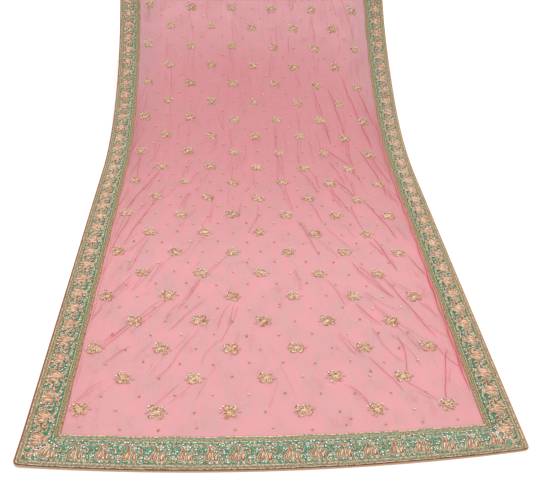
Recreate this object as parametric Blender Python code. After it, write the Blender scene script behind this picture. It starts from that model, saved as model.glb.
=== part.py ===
"""A dupatta stole: a long rectangle of sheer net, bordered and bound on all four sides.

Its near end lies flat on the floor, the rest sweeps up in a catenary to a round rod, and the
far end turns over the rod and hangs behind it.  Metres, +Z up, +Y from the near end to the rod.
The origin is the middle of the rod's axis.

Every piece is worked out in the flat cut first.  "across" is the distance from the stole's
centre line (+ to the right, seen from the near end), "along" is the distance from the near
edge, and "out" is the height above the cloth's underside.
"""

import math
from collections import namedtuple

import bmesh
import bpy
import numpy as np
from mathutils import Vector
from mathutils.geometry import delaunay_2d_cdt

# The cut.
WIDTH = 0.920
BORDER = 0.066  # from the outer edge to the seam with the net, binding included
BINDING = 0.0032
SEAM = 0.0003  # the gap left between two pieces
NET_WALL = 0.0012

# The embroidered sprigs: staggered rows, six and five to a row.
SPRIG_ROWS = 29
SPRIG_ROW_PITCH = 0.076
SPRIG_COLUMN_PITCH = 0.140
SPRIG_FIRST_ROW = 0.1195  # along, to the first row; the last row is as far from the far edge
SPRIG_SHIFT = -0.0184  # the rows lie this far off centre at the near edge
SPRIG_DRIFT = 0.0072  # and move back by this much for each metre along
SPRIG_HEIGHT = 0.0013
SAME_POINT = 1e-4
LENGTH = 2 * SPRIG_FIRST_ROW + (SPRIG_ROWS - 1) * SPRIG_ROW_PITCH

# How it is laid out and hung.
FLOOR_RUN = 0.9235  # the stretch that lies on the floor
SWEEP = 1.200  # the stretch that hangs free, from the floor to the rod
CATENARY = 0.857
LEAN = -0.055  # sideways for each metre of height
ROD_RADIUS = 0.0125
ROD_LENGTH = 1.040
ROD_CHAMFER = 0.0015
ROD_CLEARANCE = 0.0003

# The near edge isn't quite straight: its corners are pulled back, the right one more.
END_BOW = 0.0236
END_SKEW = 0.0086
END_REACH = 0.50  # along, to where the pull has died away

HALF_WIDTH = WIDTH / 2
NET_HALF_WIDTH = HALF_WIDTH - BORDER - SEAM / 2
NET_START = BORDER + SEAM / 2
NET_END = LENGTH - NET_START
WRAP_RADIUS = ROD_RADIUS + ROD_CLEARANCE
MEET_SLOPE = math.atan2(SWEEP, CATENARY)
WRAP_START = FLOOR_RUN + SWEEP
WRAP_END = WRAP_START + WRAP_RADIUS * (MEET_SLOPE + math.pi / 2)
ROD_FORWARD = (
    FLOOR_RUN + CATENARY * math.asinh(SWEEP / CATENARY) + WRAP_RADIUS * math.sin(MEET_SLOPE)
)
RISE = math.hypot(CATENARY, SWEEP) - CATENARY
ROD_HEIGHT = RISE - WRAP_RADIUS * math.cos(MEET_SLOPE)

# The flat cut is divided along these lines, the same for every piece, so that seams stay even.
MITRE_ROOM = 0.080
STATIONS = np.concatenate(
    [
        np.linspace(MITRE_ROOM, FLOOR_RUN, 12),
        np.linspace(FLOOR_RUN, WRAP_START, 21)[1:],
        np.linspace(WRAP_START, WRAP_END, 11)[1:],
        np.linspace(WRAP_END, LENGTH - MITRE_ROOM, 3)[1:],
    ]
)
COLUMNS = np.linspace(MITRE_ROOM - HALF_WIDTH, HALF_WIDTH - MITRE_ROOM, 13)

# The largest folds: soft ridges in the net, from the far end of each to its near end.  "bend" is
# how far the middle bows to the right of the straight line, looking along it to the near end.
Fold = namedtuple("Fold", "far_across far_along near_across near_along bend half_width height")
FOLDS = (
    # the hidden stretch below the rod
    Fold(-0.300, 2.080, -0.285, 1.860, 0.000, 0.011, 0.0026),
    Fold(-0.150, 2.060, -0.148, 1.800, 0.000, 0.010, 0.0022),
    Fold(0.060, 2.075, 0.066, 1.850, 0.000, 0.010, 0.0024),
    Fold(0.270, 2.080, 0.300, 1.820, 0.004, 0.012, 0.0028),
    Fold(-0.010, 1.900, -0.008, 1.700, 0.000, 0.009, 0.0020),
    Fold(0.180, 1.880, 0.198, 1.680, 0.003, 0.010, 0.0024),
    # the sweep, right side
    Fold(0.304, 1.690, 0.341, 1.530, -0.008, 0.010, 0.0026),
    Fold(0.202, 1.620, 0.209, 1.490, 0.000, 0.009, 0.0020),
    Fold(0.189, 1.315, 0.220, 1.110, -0.003, 0.010, 0.0028),
    Fold(0.239, 1.315, 0.278, 1.060, -0.006, 0.010, 0.0028),
    Fold(0.287, 1.370, 0.346, 1.080, -0.006, 0.011, 0.0032),
    Fold(0.339, 1.330, 0.380, 1.150, 0.000, 0.009, 0.0026),
    Fold(0.203, 1.055, 0.267, 0.970, 0.000, 0.009, 0.0028),
    Fold(0.307, 1.045, 0.347, 0.830, -0.012, 0.010, 0.0026),
    # the sweep, middle and left
    Fold(-0.286, 1.450, -0.280, 1.130, 0.000, 0.011, 0.0024),
    Fold(-0.213, 1.490, -0.208, 1.350, 0.000, 0.009, 0.0018),
    Fold(-0.086, 1.485, -0.085, 1.350, 0.000, 0.009, 0.0018),
    Fold(0.070, 1.620, 0.076, 1.490, 0.000, 0.009, 0.0020),
    Fold(-0.362, 1.340, -0.382, 1.250, 0.000, 0.008, 0.0020),
    Fold(-0.361, 1.020, -0.357, 0.880, 0.000, 0.009, 0.0018),
    Fold(-0.086, 1.010, -0.086, 0.890, 0.000, 0.009, 0.0016),
    Fold(0.052, 1.020, 0.046, 0.895, 0.000, 0.009, 0.0016),
    # the floor, left side
    Fold(-0.295, 0.925, -0.379, 0.710, 0.004, 0.010, 0.0018),
    Fold(-0.290, 0.790, -0.350, 0.615, 0.003, 0.010, 0.0018),
    Fold(-0.352, 0.715, -0.382, 0.585, 0.000, 0.009, 0.0017),
    Fold(-0.296, 0.625, -0.328, 0.510, 0.000, 0.009, 0.0017),
    Fold(-0.232, 0.405, -0.345, 0.275, 0.004, 0.010, 0.0016),
    Fold(-0.320, 0.490, -0.362, 0.415, 0.000, 0.009, 0.0016),
    # the floor, right side
    Fold(0.214, 0.900, 0.268, 0.790, -0.002, 0.010, 0.0018),
    Fold(0.277, 0.800, 0.338, 0.640, -0.004, 0.010, 0.0018),
    Fold(0.281, 0.632, 0.313, 0.515, 0.000, 0.009, 0.0018),
    Fold(0.274, 0.490, 0.352, 0.305, 0.000, 0.011, 0.0018),
    Fold(0.211, 0.535, 0.286, 0.425, 0.006, 0.009, 0.0016),
    Fold(0.271, 0.300, 0.270, 0.205, -0.006, 0.010, 0.0018),
    Fold(0.370, 0.260, 0.335, 0.130, 0.004, 0.011, 0.0017),
)
FOLD_STEPS = np.array([0.0, 0.15, 0.38, 0.62, 0.85, 1.0])
FOLD_MARGIN_ON_FLOOR = 0.06  # along, over which a fold's underside comes to lie flat

# The border's cross-section: a low field between two raised guard bands.
Level = namedtuple("Level", "from_edge out")
BORDER_START = BINDING + SEAM
BORDER_LEVELS = (
    Level(BORDER_START, 0.0014),
    Level(0.0048, 0.0023),
    Level(0.0126, 0.0023),
    Level(0.0138, 0.0017),
    Level(0.0568, 0.0017),
    Level(0.0580, 0.0023),
    Level(0.0642, 0.0023),
    Level(BORDER - SEAM / 2, 0.0014),
)
BORDER_SECTION = (
    Level(BORDER - SEAM / 2, 0.0),
    Level(BORDER_START, 0.0),
    *BORDER_LEVELS,
)
# The binding is a rolled strip with a flat foot.
BINDING_SECTION = (
    Level(BINDING, 0.0),
    Level(0.0006, 0.0),
    Level(0.0, 0.0009),
    Level(0.0, 0.0020),
    Level(0.0009, 0.0029),
    Level(0.0023, 0.0029),
    Level(BINDING, 0.0020),
)

# A sprig seen from above: four round petals set crosswise and a small leaf at each side.
SPRIG_OUTLINE = tuple(
    (math.radians(degrees), reach)
    for degrees, reach in (
        (0, 0.0190),
        (20, 0.0105),
        (45, 0.0180),
        (90, 0.0085),
        (135, 0.0180),
        (160, 0.0105),
        (180, 0.0190),
        (200, 0.0105),
        (225, 0.0180),
        (270, 0.0085),
        (315, 0.0180),
        (340, 0.0105),
    )
)


def cloth_line(along):
    """Distance forward, height and slope of the underside, at a distance along.

    Level on the floor, a catenary (tangent of the slope = length off the floor / CATENARY),
    an arc round the rod, then straight down behind it.
    """
    hung = np.clip(along - FLOOR_RUN, 0.0, SWEEP)
    slope = np.arctan2(hung, CATENARY)
    forward = np.minimum(along, FLOOR_RUN) + CATENARY * np.arcsinh(hung / CATENARY)
    height = np.hypot(CATENARY, hung) - CATENARY
    turned = MEET_SLOPE - (np.clip(along, WRAP_START, WRAP_END) - WRAP_START) / WRAP_RADIUS
    past = along > WRAP_START
    slope = np.where(past, turned, slope)
    forward = np.where(past, ROD_FORWARD - WRAP_RADIUS * np.sin(turned), forward)
    height = np.where(past, ROD_HEIGHT + WRAP_RADIUS * np.cos(turned), height)
    return forward, height - np.maximum(along - WRAP_END, 0.0), slope


def placed(across, along, out):
    """Points of the flat cut, carried to where the hung cloth has them, as an (n, 3) array."""
    across, along, out = np.broadcast_arrays(
        np.asarray(across, float), np.asarray(along, float), np.asarray(out, float)
    )
    forward, height, slope = cloth_line(along)
    below_rod = np.where(along < WRAP_START, RISE - height, 0.0)
    side = across / HALF_WIDTH
    pull = (END_BOW * side**2 + END_SKEW * side) * np.clip(1 - along / END_REACH, 0, 1) ** 2
    return np.stack(
        [
            across - LEAN * below_rod,
            forward + pull - out * np.sin(slope) - ROD_FORWARD,
            height + out * np.cos(slope) - ROD_HEIGHT,
        ],
        axis=-1,
    )


def fold_line(fold, share, aside):
    """The point at a share of a fold's length, so many half-widths to the right of its crest."""
    run = np.array([fold.near_across - fold.far_across, fold.near_along - fold.far_along])
    right = np.array([run[1], -run[0]]) / -np.hypot(*run)
    swell = math.sin(math.pi * share)
    off = 4 * fold.bend * share * (1 - share) + aside * fold.half_width * math.sqrt(max(swell, 0))
    return np.array([fold.far_across, fold.far_along]) + share * run + off * right


def fold_height(across, along):
    """Height of the highest fold at each point: a lens seen from above, a gable in section."""
    highest = np.zeros_like(across)
    for fold in FOLDS:
        run = np.array([fold.near_across - fold.far_across, fold.near_along - fold.far_along])
        length = np.hypot(*run)
        run = run / length
        x = across - fold.far_across
        y = along - fold.far_along
        share = np.clip((x * run[0] + y * run[1]) / length, 0, 1)
        off = y * run[0] - x * run[1] - 4 * fold.bend * share * (1 - share)
        swell = np.maximum(np.sin(np.pi * share), 1e-9)
        ridge = np.clip(1 - np.abs(off) / (fold.half_width * np.sqrt(swell)), 0, 1)
        highest = np.maximum(highest, fold.height * swell * ridge)
    return highest


def sprig_centres():
    """(across, along) of every sprig, row by row from the near end."""
    centres = []
    for row in range(SPRIG_ROWS):
        along = SPRIG_FIRST_ROW + row * SPRIG_ROW_PITCH
        in_row = 6 - row % 2
        for place in range(in_row):
            across = (place - (in_row - 1) / 2) * SPRIG_COLUMN_PITCH
            centres.append((across + SPRIG_SHIFT + SPRIG_DRIFT * along, along))
    return centres


def net_chains():
    """The lines of the flat cut that the net's triangles keep: its edge, stations and folds."""
    rows = STATIONS[(STATIONS > NET_START) & (STATIONS < NET_END)]
    left = [(-NET_HALF_WIDTH, along) for along in (NET_START, *rows, NET_END)]
    right = [(NET_HALF_WIDTH, along) for along in (NET_START, *rows, NET_END)]
    near = [(across, NET_START) for across in COLUMNS]
    far = [(across, NET_END) for across in COLUMNS]
    chains = [left + far + right[::-1] + near[::-1] + left[:1]]
    for along in rows:
        between = COLUMNS if along < END_REACH else ()
        ends = (-NET_HALF_WIDTH, *between, NET_HALF_WIDTH)
        chains.append([(across, along) for across in ends])
    for fold in FOLDS:
        for aside in (-1, 0, 1):
            chains.append([tuple(fold_line(fold, share, aside)) for share in FOLD_STEPS])
    return chains


def sprig_chains():
    chains = []
    for across, along in sprig_centres():
        outline = [
            (across + reach * math.cos(turn), along + reach * math.sin(turn))
            for turn, reach in SPRIG_OUTLINE
        ]
        chains.append(outline + outline[:1])
        chains.append([(across, along), outline[0]])
    return chains


def triangulated(chains):
    """Points and triangles over the flat cut that keep every chain as edges."""
    points = []
    edges = []
    for chain in chains:
        first = len(points)
        points += [Vector(point) for point in chain]
        edges += [(i, i + 1) for i in range(first, len(points) - 1)]
    flat, _, faces, *_ = delaunay_2d_cdt(points, edges, [], 0, 1e-6)
    return np.array([tuple(point) for point in flat]), faces


def material(name, colour, roughness):
    made = bpy.data.materials.new(name)
    made.use_nodes = True
    shader = made.node_tree.nodes["Principled BSDF"]
    shader.inputs["Base Color"].default_value = (*colour, 1.0)
    shader.inputs["Roughness"].default_value = roughness
    shader.inputs["Metallic"].default_value = 0.0
    return made


def finished(name, mesh, finish, smooth=True):
    """The object of one sub-part, closed, with its faces turned out."""
    bmesh.ops.recalc_face_normals(mesh, faces=mesh.faces)
    data = bpy.data.meshes.new(name)
    mesh.to_mesh(data)
    mesh.free()
    data.materials.append(finish)
    if smooth:
        data.shade_smooth()
        data.set_sharp_from_angle(angle=math.radians(30))
    made = bpy.data.objects.new(name, data)
    bpy.context.scene.collection.objects.link(made)
    return made


def net_panel(finish):
    """The sheer net: folds show on both sides where it hangs, sprigs on the upper side alone."""
    mesh = bmesh.new()
    folds = net_chains()
    centres = np.array(sprig_centres())
    rims = []
    for upper in (True, False):
        flat, faces = triangulated(folds + sprig_chains() if upper else folds)
        across, along = flat.T
        height = fold_height(across, along)
        if upper:
            from_centre = np.hypot(*(flat[:, None] - centres).transpose(2, 0, 1)).min(axis=1)
            out = NET_WALL + height + SPRIG_HEIGHT * (from_centre < SAME_POINT)
        else:
            off_floor = np.clip((along - FLOOR_RUN) / FOLD_MARGIN_ON_FLOOR, 0, 1)
            out = height * off_floor
        corners = [mesh.verts.new(point) for point in placed(across, along, out)]
        made = [mesh.faces.new([corners[i] for i in face]) for face in faces]
        open_edges = {edge for face in made for edge in face.edges if len(edge.link_faces) == 1}
        keys = {corner: (round(x, 5), round(y, 5)) for corner, (x, y) in zip(corners, flat)}
        rims.append({frozenset(keys[v] for v in edge.verts): edge for edge in open_edges})
        rims[-1]["key_of"] = keys
    top, bottom = rims
    key_of_top, key_of_bottom = top.pop("key_of"), bottom.pop("key_of")
    for ends, edge in top.items():
        first, second = edge.verts
        under = {key_of_bottom[v]: v for v in bottom[ends].verts}
        mesh.faces.new([first, second, under[key_of_top[second]], under[key_of_top[first]]])
    return finished("net_panel", mesh, finish)


def strip(name, section, lines, place, finish):
    """A cross-section carried from line to line, with an end cap at the first and the last."""
    mesh = bmesh.new()
    rings = []
    for line in lines:
        points = place(line, [level.from_edge for level in section], [level.out for level in section])
        rings.append([mesh.verts.new(point) for point in points])
    count = len(section)
    for near, far in zip(rings, rings[1:]):
        for i in range(count):
            j = (i + 1) % count
            mesh.faces.new([near[i], near[j], far[j], far[i]])
    mesh.faces.new(rings[0])
    mesh.faces.new(rings[-1])
    return finished(name, mesh, finish)


def edge_strips(kind, section, finish):
    """One strip for each edge of the stole, mitred where two of them meet."""
    mitre = SEAM / math.sqrt(2)

    def side(sign):
        def place(line, from_edge, out):
            inset = np.array(from_edge)
            along = {"near": inset + mitre, "far": LENGTH - inset - mitre}.get(line, line)
            return placed(sign * (HALF_WIDTH - inset), along, out)

        return place

    def end(near_edge):
        def place(line, from_edge, out):
            inset = np.array(from_edge)
            corner = HALF_WIDTH - inset - mitre
            across = {"left": -corner, "right": corner}.get(line, line)
            return placed(across, inset if near_edge else LENGTH - inset, out)

        return place

    along_lines = ["near", *STATIONS, "far"]
    across_lines = ["left", *COLUMNS, "right"]
    strip(f"{kind}_left", section, along_lines, side(-1), finish)
    strip(f"{kind}_right", section, along_lines, side(1), finish)
    strip(f"{kind}_near", section, across_lines, end(True), finish)
    strip(f"{kind}_far", section, across_lines, end(False), finish)


def rod(finish):
    """A plain dowel along X, its ends chamfered."""
    mesh = bmesh.new()
    bmesh.ops.create_cone(
        mesh, cap_ends=True, segments=48, radius1=ROD_RADIUS, radius2=ROD_RADIUS, depth=ROD_LENGTH
    )
    ends = [edge for edge in mesh.edges if abs(edge.verts[0].co.z - edge.verts[1].co.z) < 1e-6]
    bmesh.ops.bevel(
        mesh, geom=ends, offset=ROD_CHAMFER, segments=1, affect="EDGES", profile=0.5
    )
    made = finished("rod", mesh, finish)
    made.rotation_euler = (0.0, math.pi / 2, 0.0)


for leftover in list(bpy.data.objects):
    bpy.data.objects.remove(leftover)

net_panel(material("sheer pink net", (0.80, 0.36, 0.40), 0.80))
edge_strips("border", BORDER_SECTION, material("green embroidered border", (0.16, 0.42, 0.26), 0.65))
edge_strips("binding", BINDING_SECTION, material("gold binding", (0.56, 0.33, 0.13), 0.50))
rod(material("pale wood", (0.72, 0.56, 0.38), 0.45))
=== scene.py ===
"""The look of a dupatta stole: sheer pink net with stitched sprigs and beads, green embroidered
borders bound in gold, laid out on a floor and swept up over a wooden rod.

Every piece is worked out in the flat cut first.  "across" is the distance from the stole's
centre line (+ to the right, seen from the near end), "along" is the distance from the near
edge, and "out" is the height above the cloth's underside, all in metres.
"""

import math
from collections import namedtuple

import bpy
import numpy as np
from mathutils import Matrix, Vector


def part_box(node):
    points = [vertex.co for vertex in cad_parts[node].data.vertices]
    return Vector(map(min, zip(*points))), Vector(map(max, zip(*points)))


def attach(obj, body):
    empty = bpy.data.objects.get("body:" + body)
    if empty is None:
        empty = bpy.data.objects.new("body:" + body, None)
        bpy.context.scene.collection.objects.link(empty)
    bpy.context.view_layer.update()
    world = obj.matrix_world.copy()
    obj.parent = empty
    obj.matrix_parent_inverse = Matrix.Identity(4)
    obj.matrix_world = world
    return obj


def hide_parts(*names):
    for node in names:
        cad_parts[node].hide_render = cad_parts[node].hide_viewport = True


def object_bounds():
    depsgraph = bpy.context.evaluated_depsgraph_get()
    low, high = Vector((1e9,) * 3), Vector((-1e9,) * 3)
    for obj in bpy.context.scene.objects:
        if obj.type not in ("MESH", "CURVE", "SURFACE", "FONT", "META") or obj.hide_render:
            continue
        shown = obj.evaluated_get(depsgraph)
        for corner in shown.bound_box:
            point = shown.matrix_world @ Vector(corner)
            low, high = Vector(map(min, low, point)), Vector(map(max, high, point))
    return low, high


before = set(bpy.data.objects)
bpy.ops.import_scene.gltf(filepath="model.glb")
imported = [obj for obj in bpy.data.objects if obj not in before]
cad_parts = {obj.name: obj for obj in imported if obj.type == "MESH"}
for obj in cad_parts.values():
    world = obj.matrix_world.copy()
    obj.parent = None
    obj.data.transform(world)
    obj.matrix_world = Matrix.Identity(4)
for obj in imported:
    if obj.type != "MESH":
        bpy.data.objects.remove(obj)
cad_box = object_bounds()

# ---------------------------------------------------------------- floor, light and camera
# A plain white studio floor under soft light.  The stole lies on it and is looked down on
# from its near end.


class Signal:
    """A material's socket as a value: arithmetic on it adds Math nodes, node() any other."""

    def __init__(self, tree, socket=None):
        self.tree = tree
        self.socket = socket

    def node(self, kind, settings=None, sockets=None, output=0):
        """Adds a shader node: its settings first, then a value or a Signal for each socket."""
        made = self.tree.nodes.new("ShaderNode" + kind)
        for name, value in (settings or {}).items():
            setattr(made, name, value)
        for key, value in (sockets or {}).items():
            if isinstance(value, Signal):
                self.tree.links.new(value.socket, made.inputs[key])
            else:
                made.inputs[key].default_value = value
        return Signal(self.tree, made.outputs[output])

    def math(self, operation, *others):
        """A Math node's result for this and the others."""
        return self.node("Math", {"operation": operation}, dict(enumerate((self, *others))))

    def __add__(self, other):
        return self.math("ADD", other)

    __radd__ = __add__

    def __sub__(self, other):
        return self.math("SUBTRACT", other)

    def __rsub__(self, other):
        return self * -1.0 + other

    def __mul__(self, other):
        return self.math("MULTIPLY", other)

    __rmul__ = __mul__

    def wave(self, pitch):
        """A sine of this length, lifted to run from 0 to 1."""
        return 0.5 + 0.5 * (self * (2 * math.pi / pitch)).math("SINE")

    def step(self, low, high):
        """0 below low, 1 above high, and straight between them."""
        return self.node("MapRange", None, {"Value": self, "From Min": low, "From Max": high})

    def mix(self, low, high):
        """The colour that goes from low to high as this goes from 0 to 1."""
        return self.node("Mix", {"data_type": "RGBA"}, {0: self, 6: low, 7: high}, output=2)

    def noise(self, where, size, detail=2.0):
        """Smooth noise from 0 to 1, in lumps of about this size."""
        sockets = {"Vector": where, "Scale": 1 / size, "Detail": detail}
        return self.node("TexNoise", None, sockets)

    def bands(self, stops):
        """The colour of the last stop (place, colour) that this has passed."""
        made = self.node("ValToRGB", None, {0: self})
        ramp = made.socket.node.color_ramp
        ramp.interpolation = "CONSTANT"
        for place, colour in stops[1:]:
            ramp.elements.new(place).color = colour
        ramp.elements[0].color = stops[0][1]
        ramp.elements.remove(ramp.elements[-1])
        return made

    def bump(self, depth, strength=1.0):
        """A normal for a relief this deep, in metres, where this runs from 0 to 1."""
        sockets = {"Height": self, "Distance": depth, "Strength": strength}
        return self.node("Bump", None, sockets)

    def clamped(self):
        """This, kept from 0 to 1."""
        return self.math("MINIMUM", 1.0).math("MAXIMUM", 0.0)

    def cut(self):
        """The flat cut's coordinates: as one vector, then each of the two as a number."""
        whole = self.node("UVMap", {"uv_map": "cut"})
        parts = self.node("SeparateXYZ", None, {0: whole}).socket.node.outputs
        return whole, Signal(self.tree, parts[0]), Signal(self.tree, parts[1])

    def feed(self, shader, name):
        """Links this to the shader's socket of that name."""
        self.tree.links.new(self.socket, shader.inputs[name])


def paint(red, green, blue):
    """A colour as the shader takes it, from the 0 to 255 of a screen."""
    share = np.array([red, green, blue]) / 255
    linear = np.where(share <= 0.04045, share / 12.92, ((share + 0.055) / 1.055) ** 2.4)
    return (*linear.tolist(), 1.0)


def new_finish(name, **constants):
    """An empty material, a Signal that adds nodes to it, and its shader with constants set."""
    made = bpy.data.materials.new(name)
    made.use_nodes = True
    shader = made.node_tree.nodes["Principled BSDF"]
    for socket, value in constants.items():
        shader.inputs[socket.replace("_", " ")].default_value = value
    return made, Signal(made.node_tree), shader


def new_piece(name, points, faces, finishes, uv=None, which=None, tones=None, body="root"):
    """A smooth mesh object from arrays: uv and tones by point, and which finish by face."""
    data = bpy.data.meshes.new(name)
    data.from_pydata(points.tolist(), [], faces.tolist())
    if uv is not None:
        layer = data.uv_layers.new(name="cut")
        layer.data.foreach_set("uv", uv[faces.ravel()].astype(np.float32).ravel())
    if tones is not None:
        layer = data.attributes.new("tone", "FLOAT", "POINT")
        layer.data.foreach_set("value", tones.astype(np.float32))
    for finish in finishes:
        data.materials.append(finish)
    if which is not None:
        data.polygons.foreach_set("material_index", which.astype(np.int32))
    data.shade_smooth()
    data.update()
    made = bpy.data.objects.new(name, data)
    bpy.context.scene.collection.objects.link(made)
    if body:
        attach(made, body)
    return made


FLOOR_SIZE = 14.0
FLOOR_LEVEL = cad_box[0].z
FLOOR_COLOUR = paint(249, 249, 249)

floor_finish, wire, shader = new_finish("white floor", Roughness=0.75)
speckle = wire.noise(wire.node("TexCoord", output=3), 0.05, 4.0)
speckle.mix(FLOOR_COLOUR, paint(252, 252, 252)).feed(shader, "Base Color")
floor_corners = np.array([[-1, -1, 0], [1, -1, 0], [1, 1, 0], [-1, 1, 0]]) * FLOOR_SIZE / 2
floor_corners = floor_corners + [0, 0, FLOOR_LEVEL]
floor = new_piece("floor", floor_corners, np.array([[0, 1, 2, 3]]), [floor_finish], body=None)

world = bpy.data.worlds.new("studio")
bpy.context.scene.world = world
world.use_nodes = True
world.node_tree.nodes["Background"].inputs["Color"].default_value = (1.0, 1.0, 1.0, 1.0)
world.node_tree.nodes["Background"].inputs["Strength"].default_value = 0.70

sky = bpy.data.lights.new("overhead", "SUN")
sky.energy = 2.20
sky.angle = math.radians(70)
sky_light = bpy.data.objects.new("overhead", sky)
sky_light.rotation_euler = (math.radians(-6), 0.0, 0.0)
bpy.context.scene.collection.objects.link(sky_light)

bpy.context.scene.view_settings.view_transform = "Standard"

CAMERA_PLACE = Vector((-0.058, -2.4377, FLOOR_LEVEL + 0.967))
CAMERA_YAW = math.radians(4.66)  # to the right of straight ahead
CAMERA_DOWN = math.radians(39.83)
CAMERA_ROLL = math.radians(3.46)
CAMERA_LENS = 40.0  # millimetres, on a 36 mm sensor

ahead = Vector((math.sin(CAMERA_YAW), math.cos(CAMERA_YAW), 0.0)) * math.cos(CAMERA_DOWN)
ahead.z = -math.sin(CAMERA_DOWN)
level = Vector((math.cos(CAMERA_YAW), -math.sin(CAMERA_YAW), 0.0))
upright = level.cross(ahead)
right = level * math.cos(CAMERA_ROLL) + upright * math.sin(CAMERA_ROLL)
up = upright * math.cos(CAMERA_ROLL) - level * math.sin(CAMERA_ROLL)
camera = bpy.data.objects.new("camera", bpy.data.cameras.new("camera"))
camera.data.lens = CAMERA_LENS
facing = Matrix((right, up, -ahead)).transposed().to_4x4()
camera.matrix_world = Matrix.Translation(CAMERA_PLACE) @ facing
bpy.context.scene.collection.objects.link(camera)
bpy.context.scene.camera = camera

# ---------------------------------------------------------------- the net panel
# One length of sheer pink nylon net.  The sewing on it draws it into fine creases that fan
# out to the near corners, each a soft ridge with a pinched crest.

WIDTH = 0.920
LENGTH = 2.367
BORDER = 0.066  # from the outer edge to the seam with the net
FLOOR_RUN = 0.9235  # the stretch that lies on the floor
SWEEP = 1.200  # the stretch that hangs free, from the floor to the rod
CATENARY = 0.857
LEAN = -0.055  # sideways for each metre of height
END_BOW = 0.0236  # how far the near corners are pulled back
END_SKEW = 0.0086  # and how much further the right one is
END_REACH = 0.50  # along, to where the pull has died away
CLEAR_OF_ROD = 0.0003
HALF_WIDTH = WIDTH / 2

rod_low, rod_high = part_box("rod")
WRAP_RADIUS = (rod_high.z - rod_low.z) / 2 + CLEAR_OF_ROD
MEET_SLOPE = math.atan2(SWEEP, CATENARY)
WRAP_START = FLOOR_RUN + SWEEP
WRAP_END = WRAP_START + WRAP_RADIUS * (MEET_SLOPE + math.pi / 2)
ROD_FORWARD = (
    FLOOR_RUN + CATENARY * math.asinh(SWEEP / CATENARY) + WRAP_RADIUS * math.sin(MEET_SLOPE)
)
RISE = math.hypot(CATENARY, SWEEP) - CATENARY
ROD_HEIGHT = RISE - WRAP_RADIUS * math.cos(MEET_SLOPE)

FLOOR_WAVE = 0.0005
SWEEP_WAVE = 0.0028
CURL_HEIGHT = 0.0040  # the near left corner doesn't lie quite flat
CURL_REACH = 0.090
CORNER = 0.011  # radius of the corners


def cloth_line(along):
    """Distance forward, height and slope of the underside, at a distance along.

    Level on the floor, a catenary (tangent of the slope = length off the floor / CATENARY),
    an arc round the rod, then straight down behind it.
    """
    hung = np.clip(along - FLOOR_RUN, 0.0, SWEEP)
    slope = np.arctan2(hung, CATENARY)
    forward = np.minimum(along, FLOOR_RUN) + CATENARY * np.arcsinh(hung / CATENARY)
    height = np.hypot(CATENARY, hung) - CATENARY
    turned = MEET_SLOPE - (np.clip(along, WRAP_START, WRAP_END) - WRAP_START) / WRAP_RADIUS
    past = along > WRAP_START
    slope = np.where(past, turned, slope)
    forward = np.where(past, ROD_FORWARD - WRAP_RADIUS * np.sin(turned), forward)
    height = np.where(past, ROD_HEIGHT + WRAP_RADIUS * np.cos(turned), height)
    return forward, height - np.maximum(along - WRAP_END, 0.0), slope


def rise_of_cloth(across, along):
    """How far the whole cloth stands off its even line: slow waves, larger where it hangs,
    none at the rod, and a curl that grows with the square of the way into one corner."""
    hung = np.clip((along - FLOOR_RUN) / SWEEP, 0, 1)
    waves = np.sin(17.0 * across + 4.1 * along + 0.6) * np.sin(7.3 * along - 3.0 * across)
    waves = waves + 0.6 * np.sin(31.0 * across - 9.0 * along) * np.sin(5.0 * along + 1.0)
    on_floor = FLOOR_WAVE * (1.6 + waves) * np.clip(1 - 4 * hung, 0, 1)
    hanging = np.where(along < WRAP_START, SWEEP_WAVE * np.sin(np.pi * hung) * waves, 0.0)
    corner = np.hypot(across + HALF_WIDTH, along)
    return on_floor + hanging + CURL_HEIGHT * np.clip(1 - corner / CURL_REACH, 0, 1) ** 2


def eased_corners(across, along):
    """The flat cut with its square corners rounded: about the middle of each corner's circle
    the larger of the two distances becomes the radius."""
    past_side = np.clip(CORNER - HALF_WIDTH + np.abs(across), 0, None)
    past_end = np.clip(CORNER - np.minimum(along, LENGTH - along), 0, None)
    radius = np.maximum(np.hypot(past_side, past_end), 1e-9)
    spare = 1 - np.maximum(past_side, past_end) / radius
    spare = np.where((past_side > 0) & (past_end > 0), spare, 0.0)
    towards_far = np.where(along < LENGTH / 2, 1, -1)
    return across - np.sign(across) * past_side * spare, along + towards_far * past_end * spare


def placed(across, along, out):
    """Points of the flat cut where the hung cloth has them, as an (n, 3) array: forward and up
    by cloth_line and out along its normal, sideways by the lean, and at the near end pulled
    back by a parabola of across, which dies away over END_REACH as a square."""
    across, along = eased_corners(across, along)
    forward, height, slope = cloth_line(along)
    below_rod = np.where(along < WRAP_START, RISE - height, 0.0)
    side = across / HALF_WIDTH
    pull = (END_BOW * side**2 + END_SKEW * side) * np.clip(1 - along / END_REACH, 0, 1) ** 2
    out = out + rise_of_cloth(across, along)
    return np.stack(
        [
            across - LEAN * below_rod,
            forward + pull - out * np.sin(slope) - ROD_FORWARD,
            height + out * np.cos(slope) - ROD_HEIGHT,
        ],
        axis=-1,
    )


# The sprigs' staggered rows, six and five to a row, each a little off its place.
SPRIG_ROWS = 29
SPRIG_ROW_PITCH = 0.076
SPRIG_COLUMN_PITCH = 0.140
SPRIG_FIRST_ROW = 0.1195
SPRIG_SHIFT = -0.0184  # across, of every row
SPRIG_DRIFT = 0.0072  # across, for each metre along
SPRIG_STRAY = 0.0016


def sprig_places():
    """(across, along) of every sprig, row by row from the near end, six then five."""
    row = np.repeat(np.arange(SPRIG_ROWS), 6)
    place = np.tile(np.arange(6), SPRIG_ROWS)
    kept = place < 6 - row % 2
    row, place = row[kept], place[kept]
    along = SPRIG_FIRST_ROW + row * SPRIG_ROW_PITCH
    across = (place - (5 - row % 2) / 2) * SPRIG_COLUMN_PITCH
    return np.stack([across + SPRIG_SHIFT + SPRIG_DRIFT * along, along], axis=1)


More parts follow.
